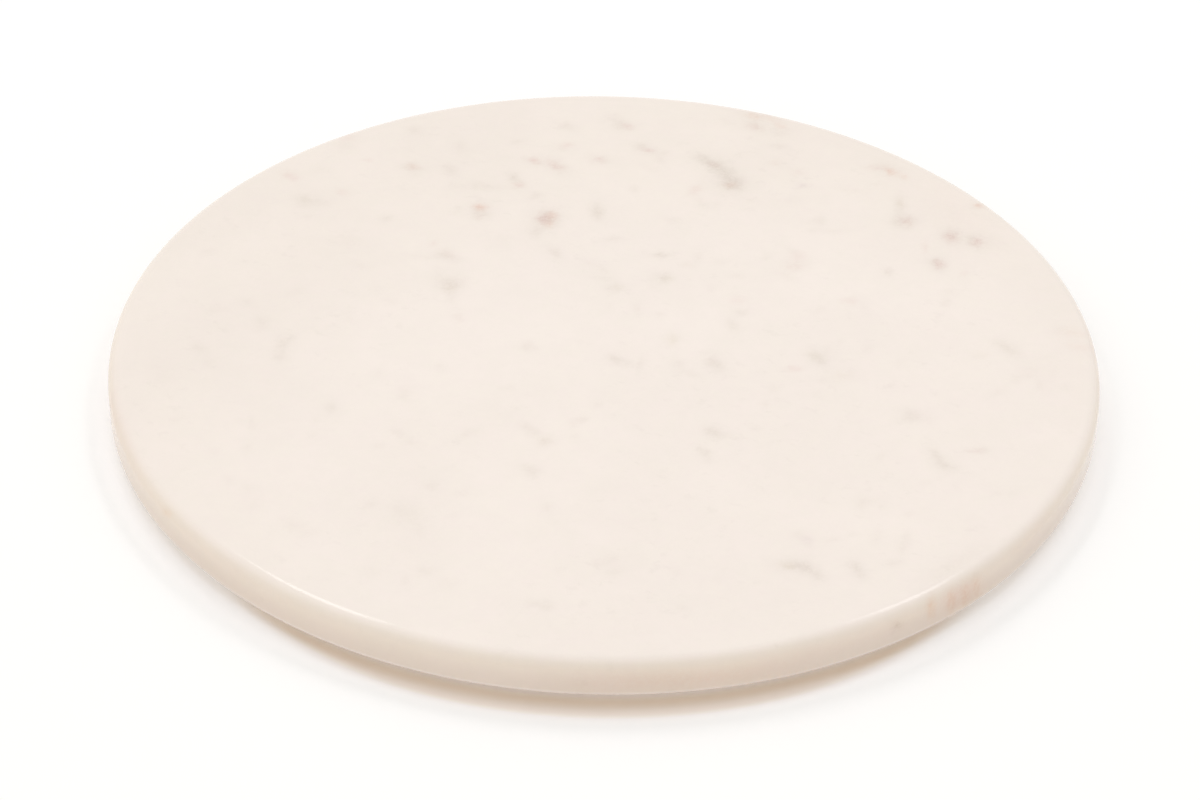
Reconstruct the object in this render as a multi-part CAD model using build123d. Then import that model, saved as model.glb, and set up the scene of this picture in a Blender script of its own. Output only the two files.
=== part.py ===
from build123d import *
from math import cos, sin, radians
import os

# A round marble chakla, the board that dough is rolled on, on four stick-on rubber feet.
# The origin is on the table under the middle of the board, with +Z up and -Y to the front.
# All lengths are in millimetres.

# Marble slab
slab_diameter = 305.0
slab_thickness = 12.0
top_round_radius = 4.0
lower_arris_radius = 1.2

# Rubber feet, moulded with a straight band at the seat and a taper down to the sole
foot_seat_diameter = 16.0
foot_sole_diameter = 13.0
foot_height = 4.0
foot_band_height = 0.8
foot_sole_round = 0.8
grip_ring_diameter = 8.0
grip_ring_width = 1.0
grip_ring_depth = 0.4

# Foam adhesive between each foot and the slab
adhesive_margin = 0.5
adhesive_thickness = 0.8

# Where the feet stand
foot_rim_inset = 35.0
foot_directions = {
    "front_left": 225,
    "front_right": 315,
    "back_right": 45,
    "back_left": 135,
}

# How far a cutting shape runs past the face that it enters
cut_overrun = 1.0

# Cylinders here rise from the middle of their lower face
upward = (Align.CENTER, Align.CENTER, Align.MIN)

# Heights and places that follow from the sizes above
adhesive_bottom = foot_height
slab_bottom = adhesive_bottom + adhesive_thickness
foot_circle_radius = slab_diameter / 2 - foot_rim_inset


def foot_centre(direction):
    """Place on the table of the foot that stands in one direction from the middle."""
    angle = radians(direction)
    return foot_circle_radius * cos(angle), foot_circle_radius * sin(angle)


def marble_slab():
    """Flat round slab with a full soft round above and a small eased arris below."""
    slab = Cylinder(slab_diameter / 2, slab_thickness, align=upward)
    top_edge = slab.edges().group_by(Axis.Z)[-1]
    slab = fillet(top_edge, top_round_radius)
    lower_edge = slab.edges().group_by(Axis.Z)[0]
    slab = fillet(lower_edge, lower_arris_radius)
    return Pos(0, 0, slab_bottom) * slab


def grip_ring():
    """Shallow ring that is moulded into a sole so that it grips the table."""
    height = grip_ring_depth + cut_overrun
    outer = Cylinder((grip_ring_diameter + grip_ring_width) / 2, height, align=upward)
    inner = Cylinder((grip_ring_diameter - grip_ring_width) / 2, height, align=upward)
    return Pos(0, 0, -cut_overrun) * (outer - inner)


def rubber_foot():
    """One moulded foot, standing on its sole at the origin."""
    half_profile = Polyline(
        (0, 0),
        (foot_sole_diameter / 2, 0),
        (foot_seat_diameter / 2, foot_height - foot_band_height),
        (foot_seat_diameter / 2, foot_height),
        (0, foot_height),
        close=True,
    )
    foot = revolve(Plane.XZ * make_face(half_profile), Axis.Z)
    sole_edge = foot.edges().group_by(Axis.Z)[0]
    return fillet(sole_edge, foot_sole_round) - grip_ring()


def adhesive_disc():
    """One disc of foam adhesive, a little smaller than the foot's seat."""
    radius = foot_seat_diameter / 2 - adhesive_margin
    return Pos(0, 0, adhesive_bottom) * Cylinder(radius, adhesive_thickness, align=upward)


def all_pieces():
    """Every piece of the board in its place, under the name of its node."""
    pieces = {"marble_slab": marble_slab()}
    for corner, direction in foot_directions.items():
        x, y = foot_centre(direction)
        pieces["foot_" + corner] = Pos(x, y, 0) * rubber_foot()
        pieces["adhesive_" + corner] = Pos(x, y, 0) * adhesive_disc()
    return pieces


os.makedirs("parts", exist_ok=True)
for node, solid in all_pieces().items():
    export_step(solid, os.path.join("parts", node + ".step"))
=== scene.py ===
import math

import bmesh
import bpy
from mathutils import Matrix, Vector, kdtree, noise


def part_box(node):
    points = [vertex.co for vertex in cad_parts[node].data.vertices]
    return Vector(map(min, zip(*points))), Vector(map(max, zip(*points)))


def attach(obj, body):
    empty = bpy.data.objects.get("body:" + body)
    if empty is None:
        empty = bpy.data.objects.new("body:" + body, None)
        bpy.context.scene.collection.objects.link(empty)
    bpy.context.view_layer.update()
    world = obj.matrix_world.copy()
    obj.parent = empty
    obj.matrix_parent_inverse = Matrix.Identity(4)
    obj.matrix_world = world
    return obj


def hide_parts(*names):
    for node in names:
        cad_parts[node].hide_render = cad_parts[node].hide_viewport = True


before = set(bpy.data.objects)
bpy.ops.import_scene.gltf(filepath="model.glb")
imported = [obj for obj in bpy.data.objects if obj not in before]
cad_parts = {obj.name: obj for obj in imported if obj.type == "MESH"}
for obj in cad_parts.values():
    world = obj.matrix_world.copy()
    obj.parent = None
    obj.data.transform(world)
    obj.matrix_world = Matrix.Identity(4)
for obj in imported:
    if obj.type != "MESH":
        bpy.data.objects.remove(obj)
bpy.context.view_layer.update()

mm = 0.001
closeBy = 0.01 * mm               # points nearer than this share a height
corners = ("front_left", "front_right", "back_right", "back_left")
print("stage: frame loaded")


class Wire:
    # a shader socket that takes part in Python sums, each of which adds a Math node
    def __init__(self, tree, socket):
        self.tree = tree
        self.socket = socket

    def maths(self, operation, first, second):
        node = self.tree.nodes.new("ShaderNodeMath")
        node.operation = operation
        plug(self.tree, node.inputs[0], first)
        plug(self.tree, node.inputs[1], second)
        return Wire(self.tree, node.outputs[0])

    def __add__(self, other):
        return self.maths("ADD", self, other)

    def __radd__(self, other):
        return self.maths("ADD", other, self)

    def __sub__(self, other):
        return self.maths("SUBTRACT", self, other)

    def __rsub__(self, other):
        return self.maths("SUBTRACT", other, self)

    def __mul__(self, other):
        return self.maths("MULTIPLY", self, other)

    def __rmul__(self, other):
        return self.maths("MULTIPLY", other, self)

    def __truediv__(self, other):
        return self.maths("DIVIDE", self, other)

    def __rtruediv__(self, other):
        return self.maths("DIVIDE", other, self)

    def other(self, name):
        # another output of the same node
        return Wire(self.tree, self.socket.node.outputs[name])


def plug(tree, socket, value):
    if isinstance(value, Wire):
        tree.links.new(value.socket, socket)
    else:
        socket.default_value = value


class Shading:
    # a node tree with one way to add any node
    def __init__(self, tree):
        self.tree = tree
        tree.nodes.clear()

    def add(self, kind, settings=None, sockets=None, result=0):
        node = self.tree.nodes.new(kind)
        for name, value in (settings or {}).items():
            setattr(node, name, value)
        for name, value in (sockets or {}).items():
            plug(self.tree, node.inputs[name], value)
        return Wire(self.tree, node.outputs[result]) if node.outputs else node

    def mix(self, factor, first, second, blend="MIX"):
        settings = {"data_type": "RGBA", "blend_type": blend}
        return self.add("ShaderNodeMix", settings, {0: factor, 6: first, 7: second}, 2)

    def vector(self, operation, first, second=None, scale=None, result=0):
        sockets = {0: first}
        if second is not None:
            sockets[1] = second
        if scale is not None:
            sockets["Scale"] = scale
        return self.add("ShaderNodeVectorMath", {"operation": operation}, sockets, result)

    def noise(self, place, scale, detail, roughness, result="Fac"):
        sockets = {"Vector": place, "Scale": scale, "Detail": detail, "Roughness": roughness}
        return self.add("ShaderNodeTexNoise", {}, sockets, result)

    def between(self, value, low, high, lowResult=0.0, highResult=1.0):
        # rises smoothly from one result to the other while the value goes from low to high
        sockets = {
            "Value": value,
            "From Min": low,
            "From Max": high,
            "To Min": lowResult,
            "To Max": highResult,
        }
        return self.add("ShaderNodeMapRange", {"interpolation_type": "SMOOTHSTEP"}, sockets)

    def softPatches(self, place, scale, detail, roughness, *values):
        # where a noise rises, with the values that between takes
        return self.between(self.noise(place, scale, detail, roughness), *values)

    def bump(self, relief, strength):
        # relief is in millimetres
        return self.add("ShaderNodeBump", {}, {"Height": relief, "Distance": mm, "Strength": strength})


def colour(red, green, blue):
    # linear colour from the three numbers, 0 to 255, that a picture shows
    def straight(value):
        share = value / 255
        return share / 12.92 if share <= 0.04045 else ((share + 0.055) / 1.055) ** 2.4

    return straight(red), straight(green), straight(blue), 1.0


def newMaterial(name):
    material = bpy.data.materials.new(name)
    material.use_nodes = True
    return material, Shading(material.node_tree)


def newPiece(name, bm, material, smooth=True):
    mesh = bpy.data.meshes.new(name)
    bm.normal_update()
    bm.to_mesh(mesh)
    bm.free()
    for face in mesh.polygons:
        face.use_smooth = smooth
    mesh.materials.append(material)
    piece = bpy.data.objects.new(name, mesh)
    bpy.context.scene.collection.objects.link(piece)
    return piece


# camera
photoCamera = {
    "imageSize": (1200, 800),     # pixels of the photograph
    "lens": 105.0,                # millimetres, on a sensor of the next width
    "sensorWidth": 36.0,
    "distance": 1.0808,           # metres from the middle of the top face
    "elevation": 34.807,          # degrees above the horizon
    "yaw": -0.057,
    "pitch": -0.903,
    "roll": 1.162,
    "clip": (0.05, 50),           # metres
}
slabLow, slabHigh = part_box("marble_slab")
slabRadius = min(slabHigh.x, slabHigh.y, -slabLow.x, -slabLow.y)
topMiddle = Vector((0, 0, slabHigh.z))


def swing(first, second, degrees):
    # turns two square directions in their own plane, the first towards the second
    cosine, sine = math.cos(math.radians(degrees)), math.sin(math.radians(degrees))
    return first * cosine + second * sine, second * cosine - first * sine


def cameraAxes():
    right, up = Vector((1, 0, 0)), Vector((0, 0, 1))
    ahead = Vector((0, 1, 0))
    ahead, up = swing(ahead, up, -photoCamera["elevation"])
    ahead, right = swing(ahead, right, photoCamera["yaw"])
    ahead, up = swing(ahead, up, photoCamera["pitch"])
    right, up = swing(right, up, photoCamera["roll"])
    return right, up, ahead


def cameraPlace():
    up = math.radians(photoCamera["elevation"])
    return topMiddle + Vector((0, -math.cos(up), math.sin(up))) * photoCamera["distance"]


def pictureOf(point, axes):
    # where a point of the scene lies in the photograph, in its pixels
    right, up, ahead = axes
    wide, high = photoCamera["imageSize"]
    away = point - cameraPlace()
    reach = photoCamera["lens"] / photoCamera["sensorWidth"] * wide / away.dot(ahead)
    return Vector((wide / 2 + reach * away.dot(right), high / 2 - reach * away.dot(up), 0))


def makeCamera():
    right, up, ahead = cameraAxes()
    data = bpy.data.cameras.new("photoCamera")
    data.lens = photoCamera["lens"]
    data.sensor_width = photoCamera["sensorWidth"]
    data.clip_start, data.clip_end = photoCamera["clip"]
    camera = bpy.data.objects.new("photoCamera", data)
    bpy.context.scene.collection.objects.link(camera)
    turned = Matrix((right, up, -ahead)).transposed().to_4x4()
    camera.matrix_world = Matrix.Translation(cameraPlace()) @ turned
    bpy.context.scene.camera = camera


makeCamera()
print("stage: camera set")

# floor, world and lamps
studio = {
    "floorSize": 12.0,
    "floorColour": colour(253, 253, 251),
    # the camera sees a slightly darker floor that glows a little, so that the shadow stays pale
    "seenColour": (0.840, 0.840, 0.832, 1.0),
    "seenGlow": (0.214, 0.204, 0.178, 1.0),
    # painted light: glow painted on the floor close to the stone that lightens its shadow, paler at the
    # sides, warmer in front
    "sidePaintedGlow": (0.325, 0.308, 0.290, 1.0),
    "frontPaintedGlow": (0.182, 0.108, 0.040, 1.0),
    # a reach is how many metres away a glow begins, and where it is full
    "contactReach": (0.1600, 0.1545),
    "frontMiddle": (0.0, -0.030, 0.0),               # the warm glow is measured from here
    "frontReach": (0.1315, 0.1250),
    "frontFade": (0.1600, 0.1535),                   # and again from the middle of the board
    # painted light: more glow painted on the floor under the rim
    "underRimPaintedGlow": (0.100, 0.125, 0.165, 1.0),         # what more there is under the rim
    "underReach": (0.1500, 0.1455),
    "background": (1.0, 1.0, 1.0, 1.0),              # what the camera and the reflections see
    # strength of the sky's light in red, green and blue at the horizon, half way up and overhead
    "skyHorizon": (0.74, 0.58, 0.46, 1.0),
    "skyMiddle": (0.92, 0.83, 0.74, 1.0),
    "skyOverhead": (0.36, 0.50, 0.70, 1.0),
    "skyRise": (0, 0.5),                             # between these heights horizon turns to middle
    "skyTop": (0.6, 1),                              # and between these middle turns to overhead
    "skyLean": (-0.13, 0.0, 0.0),                    # how much brighter it is towards the left
    # softboxes: degrees round from the front, degrees up, metres away, width and height in metres,
    # roll in degrees, watts, and whether the polish mirrors it
    "softboxes": {
        "leftRearSoftbox": (200, 55, 4.8, 1.35, 1.35, 0, 11.0, False),
        "rightRearSoftbox": (160, 55, 4.8, 1.35, 1.35, 0, 7.0, False),
        "leftStripbox": (205, 55.5, 4.8, 0.50, 2.10, -45, 9.5, True),
        "rightStripbox": (136.5, 57.5, 4.8, 0.60, 1.90, 76, 9.5, True),
        "leftSoftbox": (260, 68, 4.8, 1.60, 1.60, 0, 19.0, False),
        "rightSoftbox": (98, 68, 4.8, 1.60, 1.60, 0, 18.0, False),
    },
}


def direction(turn, rise):
    # unit vector, turned from the front towards the right and then raised
    flat = math.cos(math.radians(rise))
    turn = math.radians(turn)
    return Vector((flat * math.sin(turn), -flat * math.cos(turn), math.sin(math.radians(rise))))


def seenRays(shading):
    # 1 for what the camera sees, also in a reflection or through glass
    rays = shading.add("ShaderNodeLightPath", result="Is Camera Ray")
    return rays + rays.other("Is Glossy Ray") + rays.other("Is Transmission Ray")


def makeFloor():
    material, shading = newMaterial("studioFloor")
    place = shading.add("ShaderNodeTexCoord", result="Object")
    away = shading.vector("LENGTH", place, result="Value")
    contact = shading.between(away, *studio["contactReach"])
    ahead = shading.vector("DISTANCE", place, studio["frontMiddle"], result="Value")
    front = shading.between(ahead, *studio["frontReach"])
    front = front * shading.between(away, *studio["frontFade"])
    seen = seenRays(shading)
    tint = shading.mix(seen, studio["floorColour"], studio["seenColour"])
    surface = shading.add("ShaderNodeBsdfDiffuse", {}, {"Color": tint})
    # painted light: near the stone the floor glows, lightening and warming its shadow
    tint = shading.mix(front, studio["sidePaintedGlow"], studio["frontPaintedGlow"])
    tint = shading.mix(contact, studio["seenGlow"], tint)
    inside = shading.between(away, *studio["underReach"])
    tint = shading.mix(inside, tint, studio["underRimPaintedGlow"], "ADD")
    glow = shading.add("ShaderNodeEmission", {}, {"Color": tint, "Strength": seen})
    both = shading.add("ShaderNodeAddShader", {}, {0: surface, 1: glow})
    shading.add("ShaderNodeOutputMaterial", {}, {"Surface": both})
    material.cycles.emission_sampling = "NONE"
    bm = bmesh.new()
    bmesh.ops.create_grid(bm, x_segments=8, y_segments=8, size=studio["floorSize"] / 2)
    newPiece("studioFloor", bm, material, smooth=False)


def makeWorld():
    world = bpy.data.worlds.new("studioWorld")
    world.use_nodes = True
    bpy.context.scene.world = world
    shading = Shading(world.node_tree)
    place = shading.add("ShaderNodeTexCoord", result="Generated")
    rise = shading.add("ShaderNodeSeparateXYZ", {}, {0: place}, "Z")
    light = shading.mix(shading.between(rise, *studio["skyRise"]), studio["skyHorizon"], studio["skyMiddle"])
    light = shading.mix(shading.between(rise, *studio["skyTop"]), light, studio["skyOverhead"])
    lean = shading.vector("DOT_PRODUCT", place, studio["skyLean"], result="Value") + 1
    shown = shading.add("ShaderNodeBackground", {}, {"Color": studio["background"]})
    shone = shading.add("ShaderNodeBackground", {}, {"Color": light, "Strength": lean})
    both = shading.add("ShaderNodeMixShader", {}, {0: seenRays(shading), 1: shone, 2: shown})
    shading.add("ShaderNodeOutputWorld", {}, {"Surface": both})


def makeSoftboxes():
    for name, settings in studio["softboxes"].items():
        turn, rise, distance, width, height, roll, watts, mirrored = settings
        data = bpy.data.lights.new(name, "AREA")
        data.shape = "RECTANGLE"
        data.size, data.size_y = width, height
        data.energy = watts
        lamp = bpy.data.objects.new(name, data)
        lamp.visible_camera = False
        lamp.visible_glossy = mirrored
        bpy.context.scene.collection.objects.link(lamp)
        away = direction(turn, rise)
        facing = away.to_track_quat("Z", "Y").to_matrix().to_4x4()
        rolled = Matrix.Rotation(math.radians(roll), 4, "Z")
        lamp.matrix_world = Matrix.Translation(away * distance) @ facing @ rolled


makeFloor()
makeWorld()
makeSoftboxes()
bpy.context.scene.view_settings.view_transform = "Standard"
print("stage: studio ready")

# marble slab
slab = {
    "topRound": 4.0 * mm,         # radius of the soft edge that runs round the top
    "lowerArris": 1.2 * mm,
    "steps": 640,                 # round the rim
    "roundSegments": 14,
    "arrisSegments": 6,
    "sideRows": 6,
    "netSize": 1.05 * mm,         # mesh of the flat top, fine enough to hold the painted flecks
    "ringWidths": (0.4 * mm, 3 * mm, 12 * mm, 30 * mm, 40 * mm, 40 * mm),
    # how hand polishing varies the top edge: degrees round from the right, share of the round's radius
    "polishShares": (
        (0, 0.84), (50, 0.92), (120, 0.97), (180, 1.0), (233, 1.0), (270, 0.90), (312, 1.0), (335, 0.95),
    ),
    # how far the side wanders inwards: waves per turn, size, phase in degrees
    "grindWaves": ((2, 0.03 * mm, 30), (5, 0.015 * mm, 100), (9, 0.01 * mm, 10)),
}


def waves(table, angle):
    # sum of slow waves round the board, never above zero
    return sum(size * (math.cos(count * angle - math.radians(phase)) - 1) for count, size, phase in table)


def polishAt(angle):
    # share of the full round at an angle, eased from one measured place to the next
    angle = math.degrees(angle) % 360
    stops = slab["polishShares"] + ((360, slab["polishShares"][0][1]),)
    for (before, first), (after, second) in zip(stops, stops[1:]):
        if before <= angle <= after:
            share = (angle - before) / (after - before)
            return first + (second - first) * share * share * (3 - 2 * share)
    return 1.0


def edgesAt(bm, height):
    return [edge for edge in bm.edges if all(abs(v.co.z - height) < closeBy for v in edge.verts)]


def riseOf(edge):
    return abs(edge.verts[0].co.z - edge.verts[1].co.z)


def capAt(bm, height):
    flat = [face for face in bm.faces if all(abs(v.co.z - height) < closeBy for v in face.verts)]
    return max(flat, key=lambda face: face.calc_area())


def bevelLoop(bm, edges, width, segments):
    bmesh.ops.bevel(
        bm, geom=edges, offset=width, offset_type="OFFSET", segments=segments,
        profile=0.5, affect="EDGES", material=-1,
    )


def ringCap(bm, height, widths):
    # rings of faces that close a flat round end, down to a fan at its middle
    cap = capAt(bm, height)
    for width in widths:
        bmesh.ops.inset_region(bm, faces=[cap], thickness=width, use_even_offset=True)
    bmesh.ops.poke(bm, faces=[cap])


def raiseFaces(bm, faces, rise, spread=1.0):
    # extrudes faces upwards, and scales their far end about the axis
    raised = bmesh.ops.extrude_face_region(bm, geom=faces)["geom"]
    rising = [part for part in raised if isinstance(part, bmesh.types.BMVert)]
    bmesh.ops.translate(bm, verts=rising, vec=(0, 0, rise))
    bmesh.ops.scale(bm, verts=rising, vec=(spread, spread, 1))
    return [part for part in raised if isinstance(part, bmesh.types.BMFace)]


def moveTo(bm, low, high):
    # takes a shape from the origin to the middle of the box that it fills
    middle = ((low.x + high.x) / 2, (low.y + high.y) / 2, low.z)
    bmesh.ops.translate(bm, verts=bm.verts, vec=middle)


def netCap(bm, height):
    # closes the flat top with a square net, stitched to the rim's inner edge
    cap = capAt(bm, height)
    bmesh.ops.inset_region(bm, faces=[cap], thickness=slab["ringWidths"][0], use_even_offset=True)
    reach = cap.verts[0].co.xy.length - slab["netSize"]
    bmesh.ops.delete(bm, geom=[cap], context="FACES_ONLY")
    count = round(2 * reach / slab["netSize"])
    net = bmesh.ops.create_grid(bm, x_segments=count, y_segments=count, size=reach)["verts"]
    bmesh.ops.translate(bm, verts=net, vec=(0, 0, height))
    faces = {face for vertex in net for face in vertex.link_faces}
    outside = [face for face in faces if max(v.co.xy.length for v in face.verts) > reach]
    bmesh.ops.delete(bm, geom=outside, context="FACES")
    border = [edge for edge in bm.edges if edge.is_boundary]
    bmesh.ops.triangle_fill(bm, edges=border, use_beauty=True, normal=(0, 0, 1))


def polishByHand(bm):
    for vertex in bm.verts:
        radius = vertex.co.xy.length
        if radius < slabRadius - slab["topRound"] - closeBy:
            continue
        angle = math.atan2(vertex.co.y, vertex.co.x)
        inward = slabRadius - radius
        down = slabHigh.z - vertex.co.z
        if down < slab["topRound"]:
            keep = polishAt(angle)
            down *= keep
            inward *= keep
        inward -= waves(slab["grindWaves"], angle)
        outward = vertex.co.xy.normalized() * (slabRadius - inward)
        vertex.co = Vector((outward.x, outward.y, slabHigh.z - down))


def slabShape():
    bm = bmesh.new()
    bmesh.ops.create_circle(bm, cap_ends=True, radius=slabRadius, segments=slab["steps"])
    bmesh.ops.translate(bm, verts=bm.verts, vec=(0, 0, slabLow.z))
    raiseFaces(bm, bm.faces[:], slabHigh.z - slabLow.z)
    bevelLoop(bm, edgesAt(bm, slabHigh.z), slab["topRound"], slab["roundSegments"])
    bevelLoop(bm, edgesAt(bm, slabLow.z), slab["lowerArris"], slab["arrisSegments"])
    uprights = [edge for edge in bm.edges if riseOf(edge) > slab["topRound"]]
    bmesh.ops.subdivide_edges(bm, edges=uprights, cuts=slab["sideRows"], use_grid_fill=True)
    netCap(bm, slabHigh.z)
    ringCap(bm, slabLow.z, slab["ringWidths"])
    polishByHand(bm)
    bmesh.ops.recalc_face_normals(bm, faces=bm.faces)
    return bm


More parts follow.
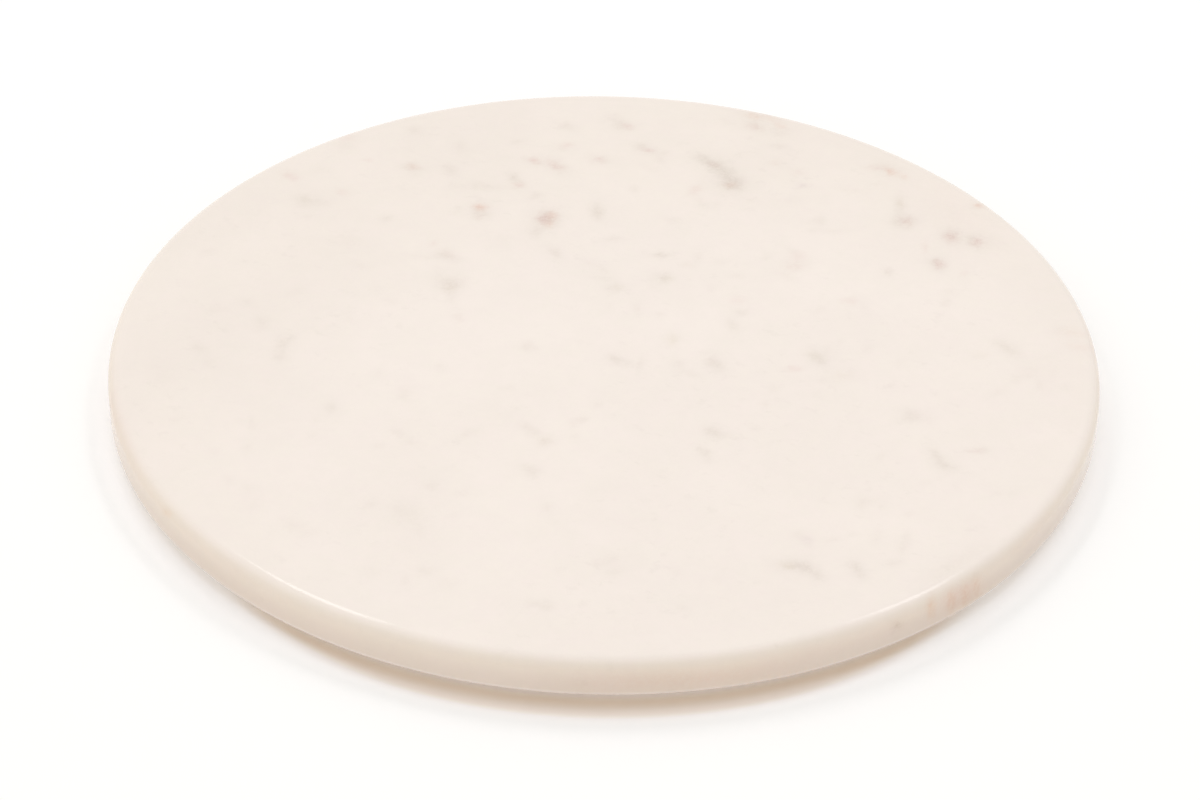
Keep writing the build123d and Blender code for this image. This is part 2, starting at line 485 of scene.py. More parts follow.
# what the stone looks like; colours are linear, and a tone multiplies the stone's own colour
marble = {
    "cream": (0.953, 0.873, 0.788, 1.0),
    "outerTone": (0.974, 0.972, 0.963, 1.0),         # darker further from one point near the middle
    "palest": (0.03, -0.06, 0.01),
    "outerReach": (0.105, 0.180),                    # metres from there where that tone begins and is full
    # painted shade: the rounded top edge is darkened
    "roundPaintedShade": (0.970, 0.970, 0.945, 1.0),
    "sideToneAndShade": (0.907, 0.887, 0.893, 1.0),          # the side is deeper in colour than the polished top, and painted shade darkens it further towards the bottom
    # painted reflection: the lower arris is painted paler and bluer, as if catching cool light
    "arrisPaintedReflection": (1.01, 1.02, 1.09, 1.0),
    "undersideTone": (0.96, 0.95, 0.93, 1.0),
    "cloudTone": (0.980, 0.978, 0.978, 1.0),
    "mottleTone": (0.986, 0.986, 0.986, 1.0),
    "rosyTone": (1.0, 0.9955, 0.9985, 1.0),
    "mossyTone": (0.9970, 1.0, 0.9935, 1.0),
    "hazeTone": (0.950, 0.947, 0.945, 1.0),
    "hazeStrength": 0.55,
    "arrisReflectionShare": 0.8,            # painted reflection: how much of the side's tone and shade the arris does without, which paints it paler
    # where a finish begins and is full: depths below the top, heights above the underside
    "topDepths": (0.4 * mm, 0.05 * mm),
    "polishDepths": (0.0005 * mm, 0.008 * mm),
    "roundDepths": (0.1 * mm, 1.5 * mm),
    "sideDepth": 0.3 * mm,
    "sideHeight": 3 * mm,
    "arrisHeights": (1.8 * mm, 0.6 * mm),
    "undersideHeights": (0.05 * mm, 0.005 * mm),
    # patches of noise: scale, detail, roughness, the two values between which they rise,
    # and their lowest and highest result where that isn't 0 and 1
    "clouds": (22, 2, 0.5, 0.3, 0.7),
    "haze": (190, 3, 0.65, 0.56, 0.72),
    "hazePatches": (30, 2, 0.5, 0.42, 0.62),
    "mottle": (130, 5, 0.85, 0.35, 0.65),
    "hues": (90, 4, 0.8, 0.38, 0.62),
    "breakUp": (800, 3, 0.7, 0.3, 0.65, 0.6, 1.0),
    "smears": (14, 4, 0.6, 0.35, 0.7, -0.03, 0.04),
    # plain noise: scale, detail, roughness
    "grain": (1800, 2, 0.5),
    "ripple": (45, 2, 0.5),
    "wanderNoise": (260, 3, 0.6),
    "wander": 3.0 * mm,           # how far haze, hues, scattered flecks and saw marks wander with it
    "hazeTurn": -25,              # degrees by which the haze lies askew
    "hazeStretch": (1.0, 0.75, 1.0),
    # scattered flecks: cells per metre, the values that pick cells, sizes in cells, and how the edge fades
    "spotScale": 55,
    "spotPick": (0.55, 0.7),
    "spotSizes": (0.02, 0.13),
    "spotEdge": (1.2, 0.3),
    "spotStrength": 0.35,
    "undersideSpots": 0.35,       # what more there is of them below
    # relief in millimetres
    "grainRelief": 0.0015,
    "rippleRelief": 0.03,
    "sawRelief": 0.12,
    "sawMarks": {"Scale": 90, "Distortion": 2.5, "Detail": 3.0, "Detail Scale": 1.5},
    "bumpStrength": 0.6,
    "refraction": 1.5,
    "topGloss": 0.22,             # roughness of the polished top
    "sideGloss": 0.12,
    "undersideGloss": 0.55,
    "grainGloss": 0.01,
    "fleckWander": 2.2,           # pixels of the photograph by which the painted flecks' outlines wander
    "stainWander": 0.9,           # the same for the stains on the side
    "wanderScales": (350, 900),   # noise scales of that wandering, the second half as strong
    "fleckDepth": 0.5 * mm,       # how far below the top a fleck counts as one of the top's
    "fleckReach": 3.0,            # half lengths from its middle at which a fleck's halo ends
    "coreFall": 1.3,              # how steeply a fleck's core and its halo fade outwards
    "haloFall": 0.35,
    # tone at a fleck's own middle, on top of the pale grey halo round it
    "tones": {
        "grey": (0.903, 0.885, 0.866, 1.0),
        "brown": (0.946, 0.784, 0.725, 1.0),
        "rose": (0.912, 0.785, 0.785, 1.0),
        "olive": (0.905, 0.880, 0.812, 1.0),
        "violet": (0.830, 0.770, 0.820, 1.0),
        "orange": (0.960, 0.850, 0.765, 1.0),
    },
    "haloTone": (0.944, 0.944, 0.940, 1.0),
    # flecks as the photograph shows them: x, y, half length and half width in its pixels,
    # slope in degrees down to the right, strength
    "topFlecks": {
        "brown": (
            (753, 116, 9, 3, 10, 0.55), (770, 118, 10, 3, 15, 0.3), (781, 126, 7, 3, 20, 0.4),
            (413, 167, 7, 3.5, 10, 0.35), (480, 207, 7, 3.5, 0, 0.9), (730, 185, 7, 3, 0, 0.4),
            (890, 171, 7, 4, 30, 0.8), (904, 176, 6, 3, 30, 0.4), (979, 206, 5, 2.5, 0, 0.8),
            (549, 224, 6, 4, 5, 0.6), (552, 216, 6, 4, 0, 0.75), (1075, 333, 14, 5, 8, 0.2),
            (1082, 347, 16, 4, 8, 0.2),
        ),
        "rose": (
            (567, 145, 7, 3, 0, 0.35), (628, 127, 6, 3, 0, 0.5), (648, 150, 7, 2.5, 10, 0.7),
            (755, 127, 9, 4, 15, 0.35), (290, 176, 8, 4, 15, 0.5), (342, 192, 7, 3, 10, 0.3),
            (367, 160, 5, 2, 0, 0.3), (347, 138, 9, 4, -10, 0.25),
            (518, 185, 7, 3, 5, 0.6), (534, 161, 7, 3, 8, 0.75),
            (556, 166, 9, 4, 20, 0.6), (600, 160, 8, 3, 5, 0.4), (695, 190, 7, 4, -20, 0.4),
            (714, 165, 6, 3, 20, 0.3), (775, 163, 7, 3, 0, 0.2), (798, 172, 7, 3, 10, 0.2),
            (870, 168, 10, 3, 0, 0.12), (878, 168, 8, 3, 0, 0.3), (434, 244, 4, 3, 0, 0.25),
            (447, 254, 8, 4, 15, 0.15), (481, 216, 6, 3, 0, 0.2), (544, 219, 8, 6, 0, 0.85),
            (793, 267, 10, 4, 0, 0.25), (797, 257, 10, 6, 0, 0.25), (906, 221, 7, 5, 5, 0.7),
            (925, 247, 3, 6, -10, 0.35), (939, 264, 6, 4, 15, 0.8), (951, 237, 7, 5, 10, 0.75),
            (977, 242, 6, 4, 0, 0.7), (459, 318, 5, 4, 20, 0.1), (738, 300, 9, 4, 0, 0.2),
            (850, 301, 8, 3, 0, 0.3), (964, 274, 4, 3, -30, 0.25), (793, 369, 8, 2.5, 0, 0.4),
            (960, 215, 60, 30, 35, 0.12), (976, 451, 9, 2.5, 0, 0.3),
        ),
        "olive": (
            (900, 204, 4, 6, 0, 0.4), (687, 265, 7, 3, 0, 0.2), (449, 289, 7, 4, 0, 0.35),
            (618, 287, 6, 3, 0, 0.3), (668, 279, 6, 4, 0, 0.3), (672, 340, 7, 6, 0, 0.45),
            (816, 356, 9, 5, 15, 0.2), (843, 376, 12, 5, 0, 0.25), (982, 355, 9, 3, 0, 0.2),
            (545, 441, 7, 5, 0, 0.3), (787, 566, 9, 4, 8, 0.6),
        ),
        "grey": (
            (345, 147, 10, 5, 0, 0.2), (415, 130, 8, 4, 10, 0.35), (461, 147, 6, 6, -40, 0.32),
            (518, 142, 7, 3, 0, 0.32), (562, 149, 7, 3, 0, 0.25), (566, 126, 8, 4, 10, 0.5),
            (612, 118, 8, 3, 0, 0.3), (620, 125, 8, 5, 10, 0.6), (641, 147, 9, 3, 12, 0.4),
            (725, 122, 9, 3, 20, 0.2), (779, 146, 8, 2.5, 15, 0.35), (780, 133, 9, 3, 0, 0.3),
            (306, 200, 9, 5, 5, 0.65), (322, 203, 8, 4, 0, 0.25), (322, 170, 9, 3, 0, 0.15),
            (447, 168, 7, 4, 20, 0.35), (453, 172, 6, 5, 0, 0.3), (455, 186, 6, 3, 0, 0.15),
            (480, 186, 10, 4, 0, 0.4), (498, 188, 8, 3, 0, 0.2), (512, 177, 6, 3, 20, 0.35),
            (535, 196, 6, 4, 0, 0.5), (635, 189, 6, 3, 15, 0.3), (650, 168, 9, 3, 15, 0.2),
            (660, 160, 5, 3, 30, 0.25), (664, 154, 6, 3, 0, 0.3), (697, 158, 8, 3, 10, 0.25),
            (702, 203, 7, 3, 40, 0.25), (706, 161, 9, 4, 30, 0.7), (716, 166, 10, 6, 25, 0.75),
            (717, 205, 5, 3, 20, 0.25), (726, 175, 9, 6, 50, 0.8), (733, 185, 11, 6, 5, 0.9),
            (738, 178, 8, 4, 45, 0.4), (750, 200, 14, 3, 10, 0.18), (852, 190, 14, 3, 8, 0.2),
            (876, 184, 8, 3, 0, 0.15), (208, 251, 7, 3, 0, 0.2), (307, 217, 10, 3, 0, 0.18),
            (332, 242, 5, 3, 0, 0.15), (350, 240, 16, 6, 0, 0.15), (360, 265, 8, 3, 20, 0.2),
            (387, 218, 7, 3, 0, 0.4), (425, 257, 18, 3, 3, 0.2), (438, 268, 6, 3, 0, 0.15),
            (447, 256, 11, 4, 15, 0.6), (457, 212, 6, 3, 0, 0.22), (503, 240, 8, 6, 0, 0.15),
            (536, 232, 7, 5, -20, 0.5), (555, 253, 8, 4, 30, 0.6), (592, 264, 9, 3, 20, 0.25),
            (598, 212, 7, 6, 60, 0.9), (614, 239, 9, 3, 0, 0.4), (661, 255, 8, 2.5, 0, 0.8),
            (672, 220, 7, 3, 10, 0.25), (698, 257, 4, 4, 60, 0.3), (720, 262, 14, 3, 0, 0.15),
            (766, 258, 4, 4, 50, 0.25), (792, 250, 8, 3, 25, 0.25), (800, 266, 10, 5, 0, 0.2),
            (812, 222, 6, 3, 0, 0.25), (812, 231, 8, 2.5, 0, 0.2), (821, 221, 4, 4, 45, 0.4),
            (834, 231, 8, 2.5, 3, 0.3), (896, 222, 6, 4, 0, 0.35), (933, 262, 5, 4, 0, 0.35),
            (971, 238, 6, 4, 0, 0.35), (990, 243, 14, 8, 0, 0.15), (216, 310, 10, 4, 0, 0.2),
            (248, 303, 6, 3, 20, 0.25), (262, 323, 8, 8, 0, 0.3), (295, 292, 8, 5, -20, 0.15),
            (348, 316, 5, 5, 0, 0.15), (391, 301, 7, 3, 0, 0.2), (440, 279, 8, 5, 0, 0.25),
            (451, 299, 4, 6, 0, 0.2), (451, 284, 9, 7, 0, 0.65), (459, 282, 10, 7, 0, 0.2),
            (598, 278, 14, 3, 10, 0.2), (604, 271, 8, 3, 40, 0.25), (609, 307, 5, 3, 0, 0.15),
            (612, 289, 7, 4, 0, 0.4), (637, 309, 4, 5, -15, 0.3), (653, 280, 5, 6, 0, 0.2),
            (660, 315, 5, 3, 0, 0.2), (664, 278, 5, 4, 0, 0.8), (712, 288, 6, 4, 0, 0.2),
            (732, 325, 8, 5, 50, 0.45), (736, 276, 6, 3, 0, 0.2), (742, 312, 7, 3, 0, 0.4),
            (786, 276, 10, 3, 20, 0.25), (820, 310, 7, 3, 0, 0.25), (863, 307, 3, 3, 0, 0.2),
            (888, 272, 5, 4, 20, 0.6), (946, 303, 5, 5, 20, 0.35), (948, 292, 6, 4, 0, 0.2),
            (200, 348, 7, 4, 10, 0.3), (208, 362, 8, 6, 0, 0.15), (281, 356, 7, 6, 0, 0.35),
            (283, 343, 9, 6, -25, 0.5), (378, 374, 5, 5, 0, 0.2), (440, 367, 6, 4, 0, 0.2),
            (508, 388, 8, 3, 0, 0.2), (528, 347, 7, 4, 0, 0.5), (615, 359, 7, 4, 20, 0.75),
            (627, 364, 8, 4, 10, 0.25), (640, 364, 3, 7, 15, 0.4), (678, 364, 6, 4, 40, 0.35),
            (690, 374, 12, 3, 12, 0.25), (711, 361, 7, 6, 10, 0.6), (719, 366, 6, 5, 40, 0.5),
            (775, 389, 6, 4, 20, 0.2), (821, 362, 5, 3, 30, 0.4), (822, 380, 5, 3, 0, 0.2),
            (828, 350, 6, 8, 0, 0.15), (841, 342, 3, 3, 0, 0.2), (868, 348, 4, 4, 0, 0.25),
            (892, 387, 4, 4, 0, 0.15), (900, 363, 4, 4, 0, 0.15), (1002, 346, 9, 4, 10, 0.3),
            (1010, 350, 12, 5, 30, 0.45), (1015, 380, 6, 4, 0, 0.2), (1028, 376, 10, 3, 0, 0.2),
            (1030, 370, 14, 4, 0, 0.2), (1040, 385, 6, 5, 20, 0.25), (1045, 357, 9, 3, 0, 0.15),
            (1053, 375, 4, 8, 0, 0.15), (1058, 332, 8, 4, 0, 0.2), (1065, 388, 5, 4, 0, 0.15),
            (174, 420, 6, 4, 0, 0.15), (247, 447, 5, 4, -30, 0.25), (252, 424, 3, 5, 0, 0.25),
            (312, 435, 4, 4, 0, 0.2), (315, 419, 4, 3, 0, 0.2), (332, 408, 6, 6, -30, 0.4),
            (378, 446, 4, 3, 0, 0.25), (399, 434, 8, 4, 25, 0.3), (404, 393, 7, 6, 10, 0.3),
            (412, 442, 7, 3, 0, 0.2), (468, 434, 12, 4, -15, 0.25), (528, 428, 9, 4, 20, 0.4),
            (534, 434, 6, 4, 0, 0.25), (573, 424, 4, 5, 45, 0.27), (574, 437, 5, 4, 0, 0.2),
            (583, 419, 6, 3, -15, 0.38), (598, 404, 6, 3, -10, 0.25), (700, 449, 4, 3, 30, 0.45),
            (708, 430, 6, 3, 10, 0.5), (716, 433, 6, 5, 10, 0.5), (726, 436, 8, 3, 0, 0.25),
            (756, 428, 5, 3, 0, 0.25), (765, 404, 5, 4, 0, 0.25), (815, 395, 5, 4, 0, 0.2),
            (907, 419, 6, 4, 0, 0.3), (914, 415, 10, 5, 15, 0.45), (930, 420, 5, 5, 0, 0.15),
            (998, 392, 8, 4, -20, 0.2), (212, 452, 6, 3, 0, 0.15), (228, 480, 5, 5, 0, 0.15),
            (248, 488, 6, 4, 0, 0.15), (256, 503, 10, 8, 0, 0.15), (368, 505, 9, 4, -20, 0.2),
            (398, 510, 9, 8, 0, 0.2), (432, 487, 7, 4, 10, 0.4), (462, 493, 8, 3, 0, 0.2),
            (530, 469, 9, 4, 10, 0.5), (533, 475, 5, 4, 30, 0.3), (547, 508, 6, 5, 0, 0.3),
            (706, 453, 4, 3, 30, 0.5), (708, 459, 3, 4, 0, 0.2), (862, 504, 6, 5, -20, 0.3),
            (872, 500, 8, 3, 0, 0.2), (880, 457, 5, 3, -30, 0.2), (881, 507, 4, 4, 0, 0.2),
            (925, 482, 5, 2.5, 0, 0.15), (934, 453, 7, 4, 45, 0.4), (940, 460, 8, 4, 45, 0.45),
            (955, 469, 5, 3, 0, 0.25), (970, 451, 7, 2.5, 0, 0.25), (984, 451, 6, 3, 0, 0.25),
            (998, 492, 6, 3, 0, 0.2), (1013, 493, 5, 3, 0, 0.15), (294, 525, 10, 6, 20, 0.25),
            (310, 533, 10, 4, 0, 0.15), (412, 515, 14, 12, 0, 0.2), (420, 530, 5, 8, 0, 0.15),
            (452, 515, 5, 4, 0, 0.15), (555, 523, 6, 3, 0, 0.15), (598, 563, 8, 3, 10, 0.2),
            (610, 560, 9, 6, 0, 0.22), (797, 534, 5, 4, 0, 0.2), (800, 566, 12, 5, 5, 0.6),
            (833, 539, 9, 3, 0, 0.25), (854, 567, 6, 5, 35, 0.65), (876, 537, 6, 9, 20, 0.2),
            (893, 563, 7, 2.5, -5, 0.35), (902, 548, 5, 7, 10, 0.3), (907, 537, 4, 6, 0, 0.2),
            (910, 514, 5, 3, 0, 0.25), (373, 572, 8, 5, 0, 0.15), (405, 580, 5, 4, 0, 0.2),
            (425, 571, 9, 4, 0, 0.25), (448, 583, 12, 6, 0, 0.15), (533, 604, 8, 4, 0, 0.25),
            (546, 606, 9, 4, 0, 0.4), (558, 571, 4, 3, 0, 0.15), (615, 572, 10, 4, -10, 0.25),
            (676, 572, 5, 3, 30, 0.2), (682, 608, 6, 3, 15, 0.25), (718, 579, 5, 3, 0, 0.15),
            (811, 571, 10, 4, 30, 0.7), (818, 577, 5, 3, 30, 0.3), (861, 573, 6, 4, 30, 0.6),
            (558, 166, 8, 5, 20, 0.3), (816, 356, 9, 5, 15, 0.5), (946, 466, 8, 3.5, 15, 0.5),
            (412, 168, 8, 4, 10, 0.5), (514, 176, 5, 4, 60, 0.5), (481, 215, 7, 3, 0, 0.5),
            (480, 211, 9, 7, 0, 0.25), (546, 217, 10, 6, 0, 0.5), (601, 160, 7, 3, 5, 0.3),
            (755, 126, 9, 4, 15, 0.35), (900, 205, 4, 7, 0, 0.3), (906, 221, 8, 5, 5, 0.45),
            (952, 236, 8, 6, 10, 0.5), (975, 243, 8, 5, 0, 0.35), (939, 264, 7, 5, 15, 0.4),
            (459, 318, 5, 4, 20, 0.25), (545, 441, 6, 4, 0, 0.4), (160, 376, 16, 14, 0, 0.12),
            (405, 440, 55, 45, 0, 0.1), (400, 540, 60, 40, 0, 0.1), (955, 566, 40, 10, -32, 0.3),
        ),
        "violet": (
            (803, 186, 7, 2.5, 3, 0.4), (806, 540, 8, 5, 15, 0.3), (790, 200, 9, 5, 0, 0.15),
        ),
    },
    # the same for the stains on the side, and for long bands along the front of the rim that make it darker
    # and warmer
    "sideStains": {
        "orange": (
            (931, 608, 12, 4, 90, 1.0), (951, 601, 12, 4, 90, 0.9), (965, 596, 12, 4, 90, 0.8),
            (976, 588, 11, 5, 90, 0.7), (962, 602, 28, 7, -30, 0.4), (167, 513, 6, 5, 40, 0.5),
            (690, 680, 130, 12, -5, 0.4),
        ),
        "grey": ((897, 625, 6, 4, 10, 1.5),),
        "rose": (
            (962, 592, 28, 10, -30, 0.6), (1048, 520, 40, 9, -48, 0.12), (1020, 548, 20, 6, -42, 0.15),
            (620, 679, 110, 9, -1, 0.2), (800, 657, 95, 9, -14, 0.2), (905, 622, 50, 9, -22, 0.15),
            (124, 440, 10, 50, -20, 0.15), (113, 400, 6, 30, 0, 0.12),
        ),
    },
}


def paintFlecks(piece):
    # the flecks go into a colour attribute, a point of the mesh at a time, as the camera sees them
    mesh = piece.data
    layer = mesh.color_attributes.new("flecks", "FLOAT_COLOR", "POINT")
    axes, eye = cameraAxes(), cameraPlace()
    coarse, fine = marble["wanderScales"]
    seen = [vertex for vertex in mesh.vertices if vertex.normal.dot(eye - vertex.co) > 0]
    tree = kdtree.KDTree(len(seen))
    for index, vertex in enumerate(seen):
        wander = noise.noise_vector(vertex.co * coarse) + noise.noise_vector(vertex.co * fine) * 0.5
        wander.z = 0
        onTop = vertex.co.z > slabHigh.z - marble["fleckDepth"]
        reach = marble["fleckWander"] if onTop else marble["stainWander"]
        tree.insert(pictureOf(vertex.co, axes) + wander * reach, index)
    tree.balance()
    paint = [Vector((1, 1, 1)) for vertex in seen]
    for tone, rows in marble["topFlecks"].items():
        for row in rows:
            paintOne(tree, paint, lossOf(marble["tones"][tone]), lossOf(marble["haloTone"]), *row)
    for tone, rows in marble["sideStains"].items():
        for row in rows:
            paintOne(tree, paint, lossOf(marble["tones"][tone]), Vector((0, 0, 0)), *row)
    for point in layer.data:
        point.color = (1, 1, 1, 1)
    for vertex, shade in zip(seen, paint):
        layer.data[vertex.index].color = (*shade, 1)


def lossOf(tone):
    return Vector((1, 1, 1)) - Vector(tone[:3])


def paintOne(tree, paint, coreLoss, haloLoss, x, y, halfLength, halfWidth, slope, strength):
    slope = math.radians(slope)
    middle = Vector((x, y, 0))
    for place, index, away in tree.find_range(middle, marble["fleckReach"] * max(halfLength, halfWidth)):
        offset = place - middle
        along = (offset.x * math.cos(slope) + offset.y * math.sin(slope)) / halfLength
        across = (offset.y * math.cos(slope) - offset.x * math.sin(slope)) / halfWidth
        spread = along * along + across * across
        loss = coreLoss * math.exp(-marble["coreFall"] * spread)
        loss = loss + haloLoss * math.exp(-marble["haloFall"] * spread)
        paint[index] = paint[index] * (Vector((1, 1, 1)) - loss * strength)


def marbleMaterial():
    material, shading = newMaterial("polishedMarble")
    place = shading.add("ShaderNodeTexCoord", result="Object")
    height = shading.add("ShaderNodeSeparateXYZ", {}, {0: place}, "Z")
    wander = shading.noise(place, *marble["wanderNoise"], "Color")
    wander = shading.vector("SUBTRACT", wander, (0.5, 0.5, 0.5))
    wandering = shading.vector("ADD", place, shading.vector("SCALE", wander, scale=marble["wander"]))

    def below(start, full):
        return shading.between(height, slabHigh.z - start, slabHigh.z - full)

    def above(start, full):
        return shading.between(height, slabLow.z + start, slabLow.z + full)

    # how much a point belongs to the top, its round, the side, the arris and the underside
    top = below(*marble["topDepths"])
    roundShade = below(*marble["roundDepths"])
    sideAndShade = shading.between(height, slabHigh.z - marble["sideDepth"], slabLow.z + marble["sideHeight"])
    arrisReflection = above(*marble["arrisHeights"])
    under = above(*marble["undersideHeights"])

    # the stone's clouds, then a haze of fine flecks that lies askew
    clouds = shading.softPatches(place, *marble["clouds"])
    tint = shading.mix(clouds, marble["cream"], marble["cloudTone"], "MULTIPLY")
    away = shading.vector("DISTANCE", place, marble["palest"], result="Value")
    tint = shading.mix(shading.between(away, *marble["outerReach"]), tint, marble["outerTone"], "MULTIPLY")
    askew = shading.add("ShaderNodeMapping", {"vector_type": "TEXTURE"}, {
        "Vector": wandering,
        "Rotation": (0, 0, math.radians(marble["hazeTurn"])),
        "Scale": marble["hazeStretch"],
    })
    haze = shading.softPatches(askew, *marble["haze"]) * shading.softPatches(place, *marble["hazePatches"])
    tint = shading.mix(haze * marble["hazeStrength"], tint, marble["hazeTone"], "MULTIPLY")

    # mottling from a few millimetres down to the crystals, paler and deeper, rosier and mossier
    mottle = shading.softPatches(place, *marble["mottle"])
    tint = shading.mix(mottle, tint, marble["mottleTone"], "MULTIPLY")
    hues = shading.softPatches(wandering, *marble["hues"])
    hue = shading.mix(hues, marble["rosyTone"], marble["mossyTone"])
    tint = shading.mix(1.0, tint, hue, "MULTIPLY")

    # the painted flecks, broken up by fine noise
    flecks = shading.add("ShaderNodeVertexColor", {"layer_name": "flecks"})
    breakUp = shading.softPatches(place, *marble["breakUp"])
    tint = shading.mix(breakUp, tint, flecks, "MULTIPLY")

    # scattered flecks where the photograph shows none: side and underside
    sockets = {"Vector": wandering, "Scale": marble["spotScale"]}
    cells = shading.add("ShaderNodeTexVoronoi", {}, sockets, "Distance")
    pick = shading.add("ShaderNodeSeparateColor", {}, {0: cells.other("Color")})
    size = shading.between(pick, marble["spotPick"][0], 1.0, *marble["spotSizes"])
    spots = shading.between(cells / size, *marble["spotEdge"]) * (1 - top)
    spots = spots * shading.between(pick, *marble["spotPick"])
    spots = spots * (under * marble["undersideSpots"] + marble["spotStrength"])
    tint = shading.mix(spots * breakUp, tint, marble["tones"]["grey"], "MULTIPLY")

    # each part of the stone in its own tone, with painted shade on the round and the side and a painted
    # reflection on the arris
    tint = shading.mix(roundShade, tint, marble["roundPaintedShade"], "MULTIPLY")
    # the side's deeper tone, with painted shade that grows towards the bottom
    tint = shading.mix(sideAndShade * (1 - arrisReflection * marble["arrisReflectionShare"]), tint, marble["sideToneAndShade"], "MULTIPLY")
    # painted reflection on the lower arris
    tint = shading.mix(arrisReflection, tint, marble["arrisPaintedReflection"], "MULTIPLY")
    tint = shading.mix(under, tint, marble["undersideTone"], "MULTIPLY")

    # grain, the long ripple left by polishing, and saw marks below
    grain = shading.noise(place, *marble["grain"])
    ripple = shading.noise(place, *marble["ripple"])
    settings = {"bands_direction": "X", "wave_profile": "SIN"}
    sawn = shading.add("ShaderNodeTexWave", settings, {"Vector": wandering, **marble["sawMarks"]})
    relief = grain * marble["grainRelief"] + ripple * marble["rippleRelief"]
    relief = relief + sawn * under * marble["sawRelief"]
    polished = below(*marble["polishDepths"])
    gloss = shading.between(polished, 0, 1, marble["topGloss"], marble["sideGloss"])
    gloss = gloss + under * (marble["undersideGloss"] - marble["sideGloss"])
    gloss = gloss + shading.softPatches(place, *marble["smears"]) + grain * marble["grainGloss"]
    surface = shading.add("ShaderNodeBsdfPrincipled", {}, {
        "Base Color": tint,
        "Roughness": gloss,
        "IOR": marble["refraction"],
        "Normal": shading.bump(relief, marble["bumpStrength"]),
    })
    shading.add("ShaderNodeOutputMaterial", {}, {"Surface": surface})
    return material


marbleSlab = newPiece("marbleSlab", slabShape(), marbleMaterial())
paintFlecks(marbleSlab)
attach(marbleSlab, "root")
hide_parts("marble_slab")
print("stage: slab made,", len(marbleSlab.data.polygons), "faces")

# rubber feet
foot = {
    "steps": 96,
    "soleDiameter": 13.0 * mm,
    "bandHeight": 0.8 * mm,       # straight band at the seat
    "soleRound": 0.8 * mm,
    "soleSegments": 6,
    "seatRound": 0.12 * mm,
    "seatSegments": 3,
    "soleRim": 0.3 * mm,          # first row of faces on the sole
    "gripRing": (3.5 * mm, 4.5 * mm, 0.4 * mm),      # inner radius, outer radius, depth
    "gripSlope": 0.05 * mm,
    "gateMark": (0.9 * mm, 0.08 * mm),               # radius and depth where the mould was filled
    "gateSlope": 0.1 * mm,
    "ringWidths": (0.2 * mm, 2 * mm, 3 * mm),        # rows of faces on the seat
}


def footShape(low, high):
    bm = bmesh.new()
    seatRadius = (high.x - low.x) / 2
    soleRadius = foot["soleDiameter"] / 2
    bmesh.ops.create_circle(bm, cap_ends=True, radius=soleRadius, segments=foot["steps"])
    height = high.z - low.z
    faces = raiseFaces(bm, bm.faces[:], height - foot["bandHeight"], seatRadius / soleRadius)
    raiseFaces(bm, faces, foot["bandHeight"])
    bmesh.ops.delete(bm, geom=faces, context="FACES_ONLY")
    bevelLoop(bm, edgesAt(bm, 0), foot["soleRound"], foot["soleSegments"])
    bevelLoop(bm, edgesAt(bm, height), foot["seatRound"], foot["seatSegments"])
    bevelLoop(bm, edgesAt(bm, height - foot["bandHeight"]), foot["seatRound"], foot["seatSegments"])
    inner, outer, depth = foot["gripRing"]
    slope = foot["gripSlope"]
    gateRadius, gateDepth = foot["gateMark"]
    cap = capAt(bm, 0)
    soleEdge = max(v.co.xy.length for v in cap.verts)
    # width and rise of each row of faces, from the sole's edge to its middle
    rows = (
        (foot["soleRim"], 0),
        (soleEdge - foot["soleRim"] - outer, 0),
        (slope, -depth),
        (outer - inner - 2 * slope, 0),
        (slope, depth),
        (inner - gateRadius, 0),
        (foot["gateSlope"], -gateDepth),
    )
    for width, rise in rows:
        bmesh.ops.inset_region(bm, faces=[cap], thickness=width, depth=rise, use_even_offset=True)
    bmesh.ops.poke(bm, faces=[cap])
    ringCap(bm, height, foot["ringWidths"])
    moveTo(bm, low, high)
    bmesh.ops.recalc_face_normals(bm, faces=bm.faces)
    return bm


rubber = {
    "charcoal": colour(58, 57, 56),
    "bloom": colour(96, 94, 91),         # pale bloom that ageing brings to the surface
    "worn": colour(78, 77, 75),          # sole rubbed by the table
    "dust": colour(178, 170, 158),
    "bloomStrength": 0.5,
    "wornStrength": 0.6,
    "dustStrength": 0.35,
    "soleHeights": (0.5 * mm, 0.02 * mm),            # where the wear begins and is full
    # noise: scale, detail, roughness
    "texture": (2400, 4, 0.7),
    "flow": (240, 3, 0.6),
    "dustSpecks": (1500, 2, 0.5, 0.66, 0.74),        # and the two values between which it rises
    "bloomRise": (0.4, 0.75),
    "wornRise": (0.35, 0.6),
    "poreScale": 3200,
    # relief in millimetres
    "textureRelief": 0.05,
    "poreRelief": 0.03,
    "flowRelief": 0.03,
    "bumpStrength": 0.8,
    "refraction": 1.52,
    "gloss": 0.62,                # roughness, and what texture, wear and dust change of it
    "textureGloss": 0.2,
    "wornGloss": -0.08,
    "dustGloss": 0.1,
}


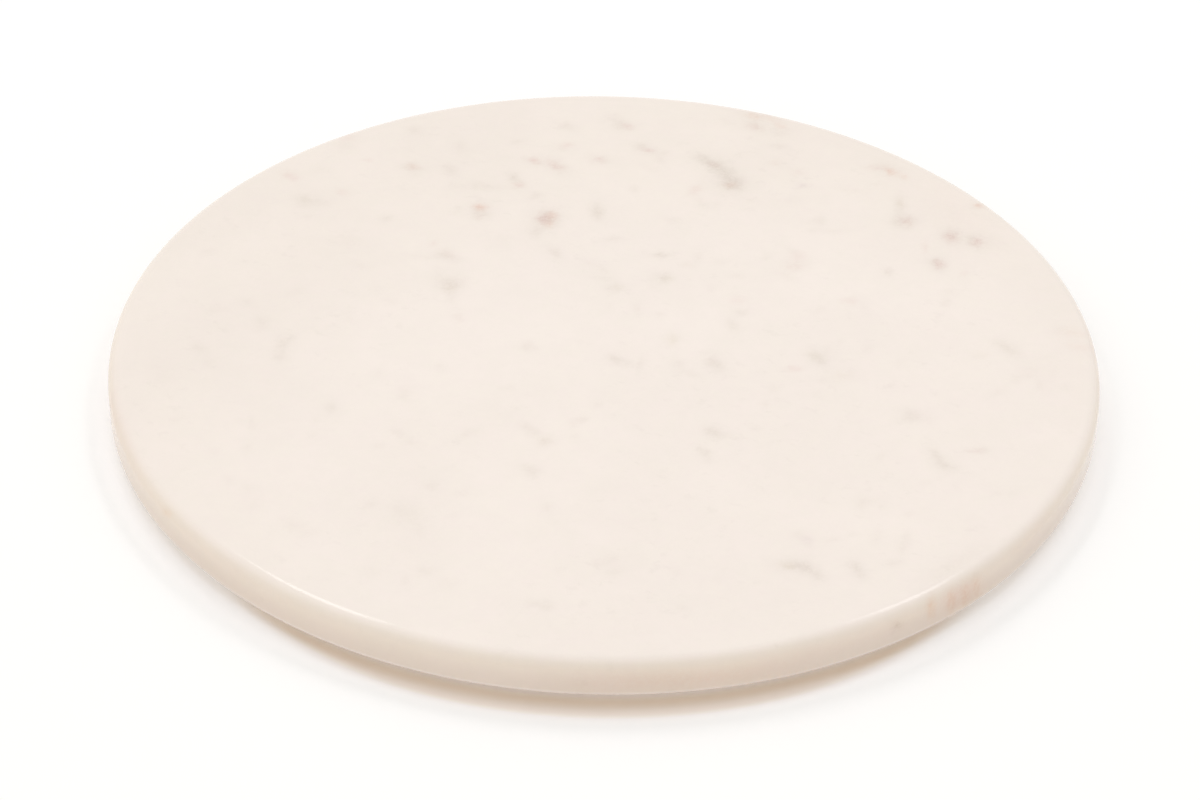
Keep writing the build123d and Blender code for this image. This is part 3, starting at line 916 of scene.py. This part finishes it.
def rubberMaterial():
    material, shading = newMaterial("footRubber")
    place = shading.add("ShaderNodeTexCoord", result="Object")
    height = shading.add("ShaderNodeSeparateXYZ", {}, {0: place}, "Z")
    sole = shading.between(height, *rubber["soleHeights"])
    sockets = {"Vector": place, "Scale": rubber["poreScale"]}
    pores = shading.add("ShaderNodeTexVoronoi", {}, sockets, "Distance")
    texture = shading.noise(place, *rubber["texture"])
    flow = shading.noise(place, *rubber["flow"])
    bloom = shading.between(flow, *rubber["bloomRise"]) * rubber["bloomStrength"]
    tint = shading.mix(bloom, rubber["charcoal"], rubber["bloom"])
    worn = sole * shading.between(texture, *rubber["wornRise"]) * rubber["wornStrength"]
    tint = shading.mix(worn, tint, rubber["worn"])
    dust = shading.softPatches(place, *rubber["dustSpecks"])
    tint = shading.mix(dust * rubber["dustStrength"], tint, rubber["dust"])
    relief = texture * rubber["textureRelief"] + pores * rubber["poreRelief"] + flow * rubber["flowRelief"]
    gloss = rubber["gloss"] + texture * rubber["textureGloss"]
    gloss = gloss + sole * rubber["wornGloss"] + dust * rubber["dustGloss"]
    surface = shading.add("ShaderNodeBsdfPrincipled", {}, {
        "Base Color": tint,
        "Roughness": gloss,
        "IOR": rubber["refraction"],
        "Normal": shading.bump(relief, rubber["bumpStrength"]),
    })
    shading.add("ShaderNodeOutputMaterial", {}, {"Surface": surface})
    return material


footRubber = rubberMaterial()
for corner in corners:
    node = "foot_" + corner
    piece = newPiece("rubberFoot_" + corner, footShape(*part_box(node)), footRubber)
    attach(piece, "root")
    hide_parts(node)
print("stage: feet made")

# foam adhesive discs
adhesive = {
    "steps": 96,
    "edgeRound": 0.3 * mm,
    "edgeSegments": 4,
    "ringWidths": (0.2 * mm, 2 * mm, 3 * mm),        # rows of faces on both flat sides
}


def adhesiveShape(low, high):
    bm = bmesh.new()
    bmesh.ops.create_circle(bm, cap_ends=True, radius=(high.x - low.x) / 2, segments=adhesive["steps"])
    heights = (0, high.z - low.z)
    raiseFaces(bm, bm.faces[:], high.z - low.z)
    for height in heights:
        bevelLoop(bm, edgesAt(bm, height), adhesive["edgeRound"], adhesive["edgeSegments"])
    for height in heights:
        ringCap(bm, height, adhesive["ringWidths"])
    moveTo(bm, low, high)
    bmesh.ops.recalc_face_normals(bm, faces=bm.faces)
    return bm


foam = {
    "white": colour(228, 225, 216),
    # painted shade in the foam's hollows
    "hollowShade": colour(190, 186, 174),
    "glue": colour(214, 205, 178),       # the bonding film at both faces
    "hollowShadeStrength": 0.8,
    "glueStrength": 0.7,
    "filmDepths": (0.12 * mm, 0.04 * mm),            # where the film begins and is full
    # cells of two sizes: scale, the distances at which a hollow begins and is full, strength
    "smallCells": (5200, 0.5, 0.1, 0.7),
    "largeCells": (2300, 0.3, 0.05, 0.3),
    "fine": (4000, 3, 0.6),              # noise: scale, detail, roughness
    "fineRelief": 0.01,                  # relief in millimetres
    "hollowRelief": -0.05,
    "bumpStrength": 0.8,
    "refraction": 1.45,
    "gloss": 0.85,                       # roughness, and what the film and the fine noise change of it
    "filmGloss": -0.4,
    "fineGloss": 0.08,
}


def foamHollows(shading, place, scale, start, full, strength):
    sockets = {"Vector": place, "Scale": scale}
    cells = shading.add("ShaderNodeTexVoronoi", {}, sockets, "Distance")
    return shading.between(cells, start, full) * strength


def foamMaterial():
    material, shading = newMaterial("adhesiveFoam")
    place = shading.add("ShaderNodeTexCoord", result="Object")
    height = shading.add("ShaderNodeSeparateXYZ", {}, {0: place}, "Z")
    low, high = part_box("adhesive_front_left")
    start, full = foam["filmDepths"]
    film = shading.between(height, low.z + start, low.z + full)
    film = film + shading.between(height, high.z - start, high.z - full)
    hollow = foamHollows(shading, place, *foam["smallCells"])
    hollow = hollow + foamHollows(shading, place, *foam["largeCells"])
    fine = shading.noise(place, *foam["fine"])
    # painted shade: the hollows of the foam's cells are darkened
    tint = shading.mix(hollow * foam["hollowShadeStrength"], foam["white"], foam["hollowShade"])
    tint = shading.mix(film * foam["glueStrength"], tint, foam["glue"])
    relief = fine * foam["fineRelief"] + hollow * foam["hollowRelief"]
    surface = shading.add("ShaderNodeBsdfPrincipled", {}, {
        "Base Color": tint,
        "Roughness": foam["gloss"] + film * foam["filmGloss"] + fine * foam["fineGloss"],
        "IOR": foam["refraction"],
        "Normal": shading.bump(relief, foam["bumpStrength"]),
    })
    shading.add("ShaderNodeOutputMaterial", {}, {"Surface": surface})
    return material


adhesiveFoam = foamMaterial()
for corner in corners:
    node = "adhesive_" + corner
    piece = newPiece("adhesiveDisc_" + corner, adhesiveShape(*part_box(node)), adhesiveFoam)
    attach(piece, "root")
    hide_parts(node)
print("stage: adhesive made")
